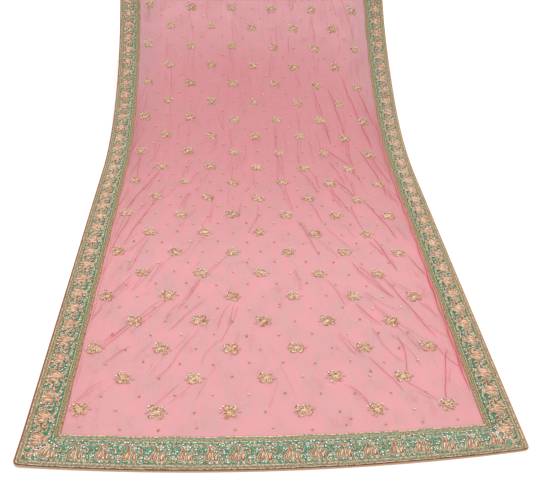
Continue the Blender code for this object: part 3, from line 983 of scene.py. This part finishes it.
beads_at = bead_places()
doubled = beads_at[chance.random(len(beads_at)) < DOUBLE_SHARE]
beads_at = np.concatenate([beads_at, doubled + DOUBLE_GAP])
beads_at = beads_at + chance.normal(0.0, BEAD_STRAY, beads_at.shape)
bead_spots = np.column_stack(
    [
        beads_at,
        chance.uniform(0, np.pi, len(beads_at)),
        chance.normal(1.0, 0.08, len(beads_at)),
        np.where(chance.random(len(beads_at)) < PEARL_SHARE, 1, 2 * (beads_at[:, 1] > PALE_FROM)),
    ]
)
loose_amber = metal_thread("loose bead", (222, 176, 116), (160, 110, 66), 0.0020, 0.25)
pale_amber = metal_thread("paler bead", (240, 190, 146), (206, 150, 112), 0.0020, 0.25)
pearl = metal_thread("pearl bead", (236, 222, 196), (184, 166, 138), 0.0020, 0.16, metallic=0.10)
sewn(
    "beads",
    [ball((0.0, 0.0), BEAD_REACH, which=kind) for kind in range(3)],
    bead_spots,
    NET_THICK + net_ridges(*beads_at.T) * sewn_flat(*beads_at.T),
    [loose_amber, pearl, pale_amber],
)

# ---------------------------------------------------------------- borders
# Four strips of emerald silk, each embroidered solid and mitred at the corners: cords couched
# in guard bands along both edges, and between them a field of paisleys, rings and sequins.

MITRE_ROOM = 0.080
WAVER = 0.0007
BORDER_STEP = 0.0052
Band = namedtuple("Band", "start end height end_colour side_colour")
FOOT = 0.0011  # height of the ground cloth
BORDER_LAP = 0.0026  # how far its last cords lap over the net
BANDS = (
    Band(0.0032, 0.0044, 0.0006, paint(110, 36, 28), paint(206, 186, 160)),  # beside the binding
    Band(0.0044, 0.0057, 0.0011, paint(255, 236, 220), paint(236, 220, 200)),
    Band(0.0057, 0.0080, 0.0008, paint(138, 150, 114), paint(160, 148, 110)),
    Band(0.0080, 0.0104, 0.0010, paint(184, 162, 126), paint(182, 156, 116)),
    Band(0.0104, 0.0118, 0.0011, paint(248, 220, 194), paint(242, 208, 168)),
    Band(0.0118, 0.0140, 0.0009, paint(162, 158, 124), paint(158, 142, 102)),
    Band(0.0140, 0.0560, 0.0000, paint(40, 146, 108), paint(40, 146, 108)),  # the field
    Band(0.0560, 0.0576, 0.0011, paint(244, 216, 186), paint(246, 214, 174)),
    Band(0.0576, 0.0600, 0.0008, paint(158, 152, 120), paint(136, 128, 86)),
    Band(0.0600, 0.0616, 0.0011, paint(222, 196, 164), paint(214, 184, 144)),
    Band(0.0616, 0.0640, 0.0008, paint(156, 172, 136), paint(148, 140, 98)),
    Band(0.0640, 0.0656, 0.0010, paint(166, 178, 142), paint(214, 182, 142)),
    Band(0.0656, 0.0676, 0.0010, paint(244, 212, 182), paint(198, 160, 124)),
    Band(0.0676, BORDER + BORDER_LAP, 0.0004, paint(224, 160, 146), paint(146, 88, 68)),  # the seam
)
FIELD = next(band for band in BANDS if not band.height)
CORD_TURN = 0.0013
HOLDING_STITCH = 0.0054  # from one to the next


def border_section():
    """(inset, out) round the strip: each cord a half sine over its width, the field level,
    and a flat back."""
    top = [(BANDS[0].start, FOOT)]
    for band in BANDS:
        share = np.linspace(0, 1, 13 if band is FIELD else 5)[1:]
        inset = band.start + share * (band.end - band.start)
        top += list(zip(inset, FOOT + band.height * np.sin(np.pi * share).clip(0)))
    return np.array([*top, (BANDS[-1].end - 0.0002, 0.0001), (BANDS[0].start, 0.0001)])


def border_finish(name, colours, ground_dark, ground_light, seeded):
    """Couched cords in bands by the distance in from the edge, each dotted by its holding
    stitches, and a shot silk ground in the field, seeded with small stitches."""
    made, wire, shader = new_finish(name, Roughness=0.5)
    cut, run, inset = wire.cut()
    stray = wire.noise(cut, 0.012, 2.0)
    stops = [(band.start / BANDS[-1].end, colour) for band, colour in zip(BANDS, colours)]
    bands = ((inset + 0.0012 * (stray - 0.5)) * (1 / BANDS[-1].end)).bands(stops)
    turns = (run + inset * 1.4).wave(CORD_TURN)
    stitches = (run + inset * 1.5).wave(HOLDING_STITCH)
    patchy = wire.noise(cut, 0.006, 3.0)
    knotted = wire.noise(cut, 0.0034, 1.0).step(0.42, 0.58)
    in_field = inset.step(FIELD.start, FIELD.start + 0.0006)
    in_field = in_field * (1 - inset.step(FIELD.end - 0.0006, FIELD.end))
    lit = 0.12 * turns + 0.62 * knotted + 0.42 * stitches + 0.08
    guard = lit.clamped().mix(paint(84, 66, 42), bands)
    ground = (1.6 * patchy + 0.3 * turns - 0.5).clamped()
    specks = wire.noise(cut, 0.0030, 1.0).step(0.54, 0.64)
    ground = (seeded * specks).mix(ground.mix(ground_dark, ground_light), paint(196, 158, 122))
    in_field.mix(guard, ground).feed(shader, "Base Color")
    (stitches + 0.4 * turns).bump(0.0004, 0.7).feed(shader, "Normal")
    return made


def border_back():
    """The wrong side: sage cotton lining crossed by the backs of the stitches."""
    made, wire, shader = new_finish("back of the border", Roughness=0.85)
    cut, run, inset = wire.cut()
    weave = run.wave(0.0009) * inset.wave(0.0009)
    floats = wire.noise(cut, 0.005, 4.0).step(0.52, 0.66)
    ground = weave.mix(paint(70, 122, 92), paint(98, 148, 114))
    (0.8 * floats).mix(ground, paint(178, 150, 118)).feed(shader, "Base Color")
    (weave + floats).bump(0.0003, 0.6).feed(shader, "Normal")
    return made


def mitred_rows(section, length, marks):
    """(run, inset, out) of a mitred strip, row by row: straight rows at the marks, and over
    the last stretch at each end rows that lean over until they lie on the mitre."""
    inset, out = section.T
    leaning = np.linspace(0, MITRE_ROOM, 20)[:-1]
    marks = np.concatenate([leaning, marks, length - leaning[::-1]])
    into_start = np.clip(marks / MITRE_ROOM, 0, 1)[:, None]
    into_end = np.clip((length - marks) / MITRE_ROOM, 0, 1)[:, None]
    run = marks[:, None] + inset * (1 - into_start) - inset * (1 - into_end)
    return np.broadcast_arrays(run, inset[None], out[None])


# For each strip: where run 0 and inset 0 are, and which way they count.
Side = namedtuple("Side", "name length turn origin")
SIDES = (
    Side("near", WIDTH, 0.0, (-HALF_WIDTH, 0.0)),
    Side("right", LENGTH, math.pi / 2, (HALF_WIDTH, 0.0)),
    Side("far", WIDTH, math.pi, (HALF_WIDTH, LENGTH)),
    Side("left", LENGTH, -math.pi / 2, (-HALF_WIDTH, LENGTH)),
)


def on_side(side, run, inset):
    """(across, along) of a point of a strip: run along the edge, inset square to it."""
    cos, sin = round(math.cos(side.turn)), round(math.sin(side.turn))
    return side.origin[0] + run * cos - inset * sin, side.origin[1] + run * sin + inset * cos


def marks_of(side, step):
    """The straight rows of a strip, closer where it goes round the rod."""
    if side.name in ("near", "far"):
        count = round((side.length - 2 * MITRE_ROOM) / step)
        return np.linspace(MITRE_ROOM, side.length - MITRE_ROOM, count + 1)
    marks = stations(MITRE_ROOM, LENGTH - MITRE_ROOM, step)
    return marks if side.name == "right" else (LENGTH - marks)[::-1]


def sewn_unevenly(side, run, inset):
    """The inset, more or less by two slow waves of the run: by nothing at the outer edge, by
    WAVER at the seam, and by nothing near the corners."""
    clear = np.clip(np.minimum(run, side.length - run) / MITRE_ROOM - 1, 0, 1)
    waves = np.sin(52 * run + side.turn) + 0.4 * np.sin(123 * run)
    return inset * (1 + WAVER / BORDER * waves * clear)


def edge_piece(name, node, side, section, finishes, lining=0):
    """One strip of the edging.  With a lining, the section is closed and that many of its
    last faces take the second finish; without, it is left open along its inner side."""
    rows = mitred_rows(section, side.length, marks_of(side, BORDER_STEP))
    count, columns = rows[0].shape
    run, inset, out = (part.ravel() for part in rows)
    points = placed(*on_side(side, run, sewn_unevenly(side, run, inset)), out)
    first = np.arange(count - 1)[:, None] * columns
    here = np.arange(columns if lining else columns - 1)[None]
    beside = (here + 1) % columns
    ahead = first + columns
    faces = np.stack([first + here, ahead + here, ahead + beside, first + beside], -1)
    faces = triangles(faces.reshape(-1, 4))
    which = np.tile(here.ravel() >= columns - lining, 2 * (count - 1)).astype(int)
    if lining:
        cap = np.array([[0, i, i + 1] for i in range(1, columns - 1)])
        faces = np.concatenate([faces, cap, cap[:, ::-1] + (count - 1) * columns])
        which = np.concatenate([which, np.ones(2 * len(cap), int)])
    made = new_piece(name, points, faces, finishes, uv=np.stack([run, inset], 1), which=which)
    made.data.set_sharp_from_angle(angle=math.radians(50))
    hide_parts(node)
    return made


section = border_section()
lining = border_back()
end_silk = border_finish(
    "border of the ends",
    [band.end_colour for band in BANDS],
    paint(10, 96, 70),
    paint(50, 158, 120),
    0.50,
)
side_silk = border_finish(
    "border of the sides",
    [band.side_colour for band in BANDS],
    paint(4, 82, 58),
    paint(34, 140, 102),
    0.12,
)
borders = {
    side.name: edge_piece(
        f"stitched_border_{side.name}",
        f"border_{side.name}",
        side,
        section,
        [end_silk if side.name in ("near", "far") else side_silk, lining],
        lining=3,
    )
    for side in SIDES
}

# ---------------------------------------------------------------- embroidery on the borders
# A repeat of a tall paisley with a hooked tip and a short one, each a pad under couched cord
# with a gold core, and vines and ring flowers, strewn with clear sequins and orange beads.

FIRST_REPEAT = 0.056  # from the corner to the middle of the first repeat
REPEAT = 0.0465
CORNER_INSET = 0.007
STREWN_PITCH = 0.0042
RING = (0.0026, 0, 315, 8)  # radius, from and to where round, and points


def smooth_path(knots, count):
    """A curve through the knots: a Catmull-Rom spline, evenly counted from knot to knot."""
    knots = np.asarray(knots, float)
    padded = np.concatenate([[2 * knots[0] - knots[1]], knots, [2 * knots[-1] - knots[-2]]])
    at = np.linspace(0, len(knots) - 1, count)
    whole = np.minimum(at.astype(int), len(knots) - 2)
    t = (at - whole)[:, None]
    a, b, c, d = (padded[whole + i] for i in range(4))
    squared, cubed = 2 * a - 5 * b + 4 * c - d, 3 * b - a - 3 * c + d
    return 0.5 * (2 * b + (c - a) * t + squared * t**2 + cubed * t**3)


def paisley(spine, widths, count, half_width, height, which, section=FINE_CORD):
    """The outline of a paisley in cord: from its tip down one side of its spine, round the
    bulb at the spine's start by a half circle, and up the other side."""
    line = smooth_path(spine, count)
    tangent = np.gradient(line, axis=0)
    tangent = tangent / np.hypot(*tangent.T)[:, None]
    to_right = np.stack([tangent[:, 1], -tangent[:, 0]], axis=1)
    width = np.interp(np.linspace(0, 1, count), np.linspace(0, 1, len(widths)), widths)[:, None]
    turn = np.linspace(0, np.pi, 7)[1:-1, None]
    bulb = line[0] + width[0] * (to_right[0] * np.cos(turn) - tangent[0] * np.sin(turn))
    outline = np.concatenate([(line + to_right * width)[::-1], bulb, line - to_right * width])
    return cord(outline, half_width, height, which=which, section=section)


def padding(spine, widths, count, height, which):
    """A low pad of satin stitch that fills a paisley: a cord of these half widths along the
    spine, begun nine tenths of the first width below it to take in the bulb."""
    line = smooth_path(spine, count)
    below = line[0] - (line[1] - line[0]) / np.hypot(*(line[1] - line[0])) * widths[0] * 0.9
    line = np.concatenate([[below], line])
    width = np.interp(np.linspace(0, 1, count), np.linspace(0, 1, len(widths)), widths)
    return cord(line, np.concatenate([[widths[0] * 0.75], width]), height, which=which, tip=0.6)


# The spines' and vines' knots (x, y) and the ring flowers (x, y, radius) are in millimetres,
# x with the edge and y in from it.
TALL_SPINE = np.array(
    [[0.0, 25.2], [2.2, 31.4], [4.2, 38.4], [3.6, 44.6], [-1.4, 49.8], [-7.4, 49.8], [-9.0, 46.0]]
)
TALL_SPINE = TALL_SPINE / 1000
TALL_WIDTHS = np.array([6.8, 5.8, 3.5, 2.0, 1.3, 1.0, 0.6]) / 1000
SHORT_SPINE = np.array([[0.0, 23.4], [-0.9, 28.6], [1.2, 34.6], [6.0, 37.4], [9.6, 35.0]]) / 1000
SHORT_WIDTHS = np.array([4.7, 3.8, 1.9, 1.1, 0.6]) / 1000
TALL_MIDDLE = (-0.0085, 0.0)
SHORT_MIDDLE = (0.0070, 0.0)
ROSE, GOLD, PAD, SEQUIN, ORANGE = range(5)
VINE = (
    ((12.4, 41.4), (17.0, 42.6), (20.6, 39.0), (19.4, 34.2), (15.2, 33.4), (13.6, 36.8)),
    ((11.0, 17.0), (14.6, 20.4), (15.4, 25.6), (19.0, 28.6), (22.4, 25.8), (20.6, 22.4)),
    ((-2.6, 17.6), (0.4, 22.4), (-0.6, 28.6), (1.4, 34.6), (5.6, 40.4)),
    ((-23.0, 35.6), (-19.2, 33.0), (-16.4, 36.4), (-18.4, 40.6), (-22.2, 41.6)),
    ((1.6, 54.4), (5.2, 49.4), (9.6, 48.6), (12.4, 52.2)),
)
FLOWERS = (
    (0.4, 45.0, 2.8),
    (-18.8, 20.0, 2.9),
    (17.2, 50.4, 3.1),
    (17.6, 17.4, 2.2),
    (-21.4, 27.6, 2.3),
    (-20.2, 49.6, 2.2),
    (6.6, 44.2, 2.0),
    (-0.8, 17.0, 1.7),
    (8.0, 16.6, 1.6),
)
CORNER_RINGS = ((-0.0085, 0.0200), (0.0085, 0.0200), (0.0070, 0.0420), (-0.0060, 0.0400))
FIELD_ROOM = np.array([[-0.0232, 0.0142], [0.0232, 0.0562]])  # two corners of what is strewn
CORNER_ROOM = np.array([[-0.0095, 0.0150], [0.0095, 0.0460]])


def strewn(draw, low, high, commas, sequins, beads, keep_off=()):
    """What fills the gaps: comma stitches, sequins and beads, each in its own cell of an even
    grid between two corners, and none within the radius of a (x, y, radius) to keep off."""
    cells = np.round((high - low) / STREWN_PITCH).astype(int)
    places = np.stack(np.meshgrid(*(np.arange(count) + 0.5 for count in cells)), -1).reshape(-1, 2)
    places = low + (places + draw.uniform(-0.4, 0.4, places.shape)) * (high - low) / cells
    draw.shuffle(places)
    for x, y, radius in keep_off:
        places = places[np.hypot(places[:, 0] - x, places[:, 1] - y) > radius]
    parts = []
    for place in places[:sequins]:
        parts.append(sequin(place, draw.uniform(0.0012, 0.0019), which=SEQUIN, lift=0.0016))
    for place in places[sequins : sequins + beads]:
        reach = (0.0015, 0.0011, 0.0012)
        parts.append(ball(place, reach, draw.uniform(0, 3), which=ORANGE, bands=3))
    for place in places[sequins + beads :][:commas]:
        start = draw.uniform(0, 360)
        curl = arc(place, draw.uniform(0.0010, 0.0024), start, start + draw.uniform(60, 170), 4)
        which = int(draw.choice([ROSE, ROSE, GOLD, PAD]))
        parts.append(cord(curl, 0.0009, 0.0010, which=which, section=FINE_CORD))
    return parts


def worked(spine, widths, core):
    """A paisley: a pad, an outline, a second line within a wide one, and a gold core.  The pad shows
    between the lines as darker gaps, partly its own thread and partly painted shade.
    """
    knots = len(spine)
    within = [paisley(spine[:3], widths[:3] * 0.55, 6, 0.0008, 0.0014, ROSE)]
    return within * (widths[0] > 0.0060) + [
        padding(spine, widths * 0.95, 2 * knots, 0.0005, PAD),
        paisley(spine, widths, 3 * knots - 2, 0.0009, 0.0015, ROSE),
        cord(smooth_path(spine[:3] - [0.0, 0.0012], 6), core, 0.0017, which=GOLD, tip=0.2),
    ]


def repeat_design(seed, commas, sequins, girth):
    """One repeat of the field, about its middle: x runs with the edge and y in from it, and
    the paisleys are wider by their girth."""
    draw = np.random.default_rng(seed)
    tall_widths, short_widths = TALL_WIDTHS * girth, SHORT_WIDTHS * girth
    tall = TALL_SPINE + TALL_MIDDLE + draw.normal(0, 0.0003, TALL_SPINE.shape)
    short = SHORT_SPINE + SHORT_MIDDLE + draw.normal(0, 0.0003, SHORT_SPINE.shape)
    parts = worked(tall, tall_widths, 0.0013) + worked(short, short_widths, 0.0016)
    for knots in VINE:
        knots = np.array(knots) / 1000 + draw.normal(0, 0.0005, (len(knots), 2))
        line = smooth_path(knots, 2 * len(knots) - 1)
        # A wider, lower cord of the pad's thread under each vine shows as a darker edge beside it:
        # partly thread and partly painted shadow.
        parts.append(cord(line, 0.0018 * girth**2, 0.0005, which=PAD, section=FINE_CORD))
        parts.append(cord(line, 0.0011, 0.0013, which=ROSE, section=FINE_CORD))
    for x, y, radius in np.array(FLOWERS) / 1000:
        ring = arc((x + draw.normal(0, 0.0005), y + draw.normal(0, 0.0005)), radius, 0, 315, 8)
        parts.append(cord(ring, 0.0011, 0.0012, which=ROSE, closed=True, section=FINE_CORD))
    for x, y, radius in np.array(FLOWERS[:2]) / 1000:
        reach = (0.0017, 0.0015, 0.0012)
        parts.append(ball((x, y), reach, which=ORANGE, bands=3))
    bodies = [
        (*centre, 0.9 * width)
        for spine, widths in ((tall, tall_widths), (short, short_widths))
        for centre, width in zip(smooth_path(spine, len(widths)), widths + 0.0010)
    ]
    return together(parts + strewn(draw, *FIELD_ROOM, commas, sequins, 3, bodies))


def corner_design(seed):
    """For each corner, about its diagonal: a short paisley among four rings."""
    draw = np.random.default_rng(seed)
    parts = worked(SHORT_SPINE - [0.0, 0.002], SHORT_WIDTHS, 0.0017)
    for middle in CORNER_RINGS:
        parts.append(cord(arc(middle, *RING), 0.0007, 0.0009, closed=True, section=FINE_CORD))
    return together(parts + strewn(draw, *CORNER_ROOM, commas=12, sequins=4, beads=1))


END_DESIGNS = [repeat_design(seed, commas=38, sequins=20, girth=1.0) for seed in (3, 5, 8, 13)]
END_DESIGNS.append(corner_design(21))
SIDE_DESIGNS = [repeat_design(seed, commas=24, sequins=7, girth=1.22) for seed in (4, 6, 9, 14)]
SIDE_DESIGNS.append(corner_design(22))
rose_cord = metal_thread("rose couching cord", (252, 226, 202), (206, 160, 130), 0.0010, 0.5)
gold_fill = metal_thread("gold filling thread", (252, 230, 190), (216, 172, 120), 0.0008, 0.35)
# The brown and tan filling threads pad the paisleys and lie under the vines; their darker edges
# beside the cords are partly painted shade.
brown_fill_and_shade = metal_thread("brown filling thread", (172, 122, 90), (120, 80, 56), 0.0008, 0.5)
tan_fill_and_shade = metal_thread("tan filling thread", (216, 162, 130), (150, 102, 76), 0.0008, 0.5)
orange_bead = metal_thread("orange bead", (220, 150, 60), (170, 104, 38), 0.0020, 0.2, metallic=0.05)

for side in SIDES:
    at_end = side.name in ("near", "far")
    designs = END_DESIGNS if at_end else SIDE_DESIGNS
    count = round((side.length - 2 * FIRST_REPEAT) / REPEAT) + 1
    middles = np.linspace(FIRST_REPEAT, side.length - FIRST_REPEAT, count)
    across, along = on_side(side, middles, 0.0)
    design = chance.integers(0, len(designs) - 1, count)
    spots = np.column_stack([across, along, np.full(count, side.turn), np.ones(count), design])
    corner = (*on_side(side, CORNER_INSET, CORNER_INSET), side.turn - math.pi / 4, 1.0)
    spots = np.concatenate([spots, [[*corner, len(designs) - 1]]])
    made = sewn(
        f"embroidery_{side.name}",
        designs,
        spots,
        np.full(len(spots), FOOT),
        [rose_cord, gold_fill, brown_fill_and_shade if at_end else tan_fill_and_shade, clear_sequin, orange_bead],
    )

# ---------------------------------------------------------------- binding
# A narrow strip of gold silk rolled over the outer edge all round and slip-stitched down.  It
# is ochre at the two ends and paler along the sides.

# (inset, out) round the roll, in millimetres.
BINDING_SECTION = np.array(
    [[3.3, 0.1], [0.6, 0.1], [0.1, 0.6], [0.0, 1.4], [0.2, 2.1], [0.8, 2.6], [1.6, 2.8]]
    + [[2.4, 2.6], [3.1, 2.1], [3.4, 1.5]]
)
BINDING_SECTION = BINDING_SECTION / 1000


def binding_finish(name, dark, light, inner):
    """Corded silk: slanting ribs from a sine of the cut, worn paler in patches, and a darker line
    where it meets the border."""
    made, wire, shader = new_finish(name, Roughness=0.42, Sheen_Weight=0.3)
    cut, run, inset = wire.cut()
    rib = (run + inset * 0.8).wave(0.0012)
    worn = wire.noise(cut, 0.010, 3.0)
    silk = (0.4 * rib + 0.8 * worn - 0.1).mix(dark, light)
    by_border = inset.step(0.0013, 0.0016)
    by_border.mix(silk, inner).feed(shader, "Base Color")
    rib.bump(0.0003, 0.7).feed(shader, "Normal")
    return made


ochre = binding_finish(
    "ochre binding", paint(150, 100, 54), paint(216, 168, 104), paint(86, 22, 16)
)
left_gold = binding_finish(
    "old gold binding", paint(170, 126, 76), paint(216, 174, 116), paint(128, 62, 46)
)
right_gold = binding_finish(
    "pale gold binding", paint(184, 146, 102), paint(222, 192, 150), paint(176, 132, 98)
)
for side in SIDES:
    finish = {"left": left_gold, "right": right_gold}.get(side.name, ochre)
    binding = edge_piece(
        f"gold_binding_{side.name}", f"binding_{side.name}", side, BINDING_SECTION, [finish]
    )

# ---------------------------------------------------------------- rod
# A plain turned dowel of pale wood, oiled.  The stole is hung over it by its far end, and
# nothing is sewn to it.

rod_wood, wire, shader = new_finish("pale oiled wood", Roughness=0.42, Coat_Weight=0.15)
place = wire.node("TexCoord", output=3)
stretched = wire.node("Mapping", None, {"Vector": place, "Scale": (1.5, 22.0, 22.0)})
coarse = {"Vector": stretched, "Scale": 6.0, "Detail": 6.0, "Distortion": 0.6}
grain = wire.node("TexNoise", None, coarse)
lines = (grain * 9.0).math("FRACT")
pores = wire.node("TexNoise", None, {"Vector": stretched, "Scale": 60.0, "Detail": 2.0})
(0.6 * lines + 0.4 * pores).mix(paint(226, 190, 140), paint(176, 130, 82)).feed(shader, "Base Color")
(pores + 0.5 * lines).bump(0.0002, 0.5).feed(shader, "Normal")
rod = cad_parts["rod"]
rod.data.materials.clear()
rod.data.materials.append(rod_wood)
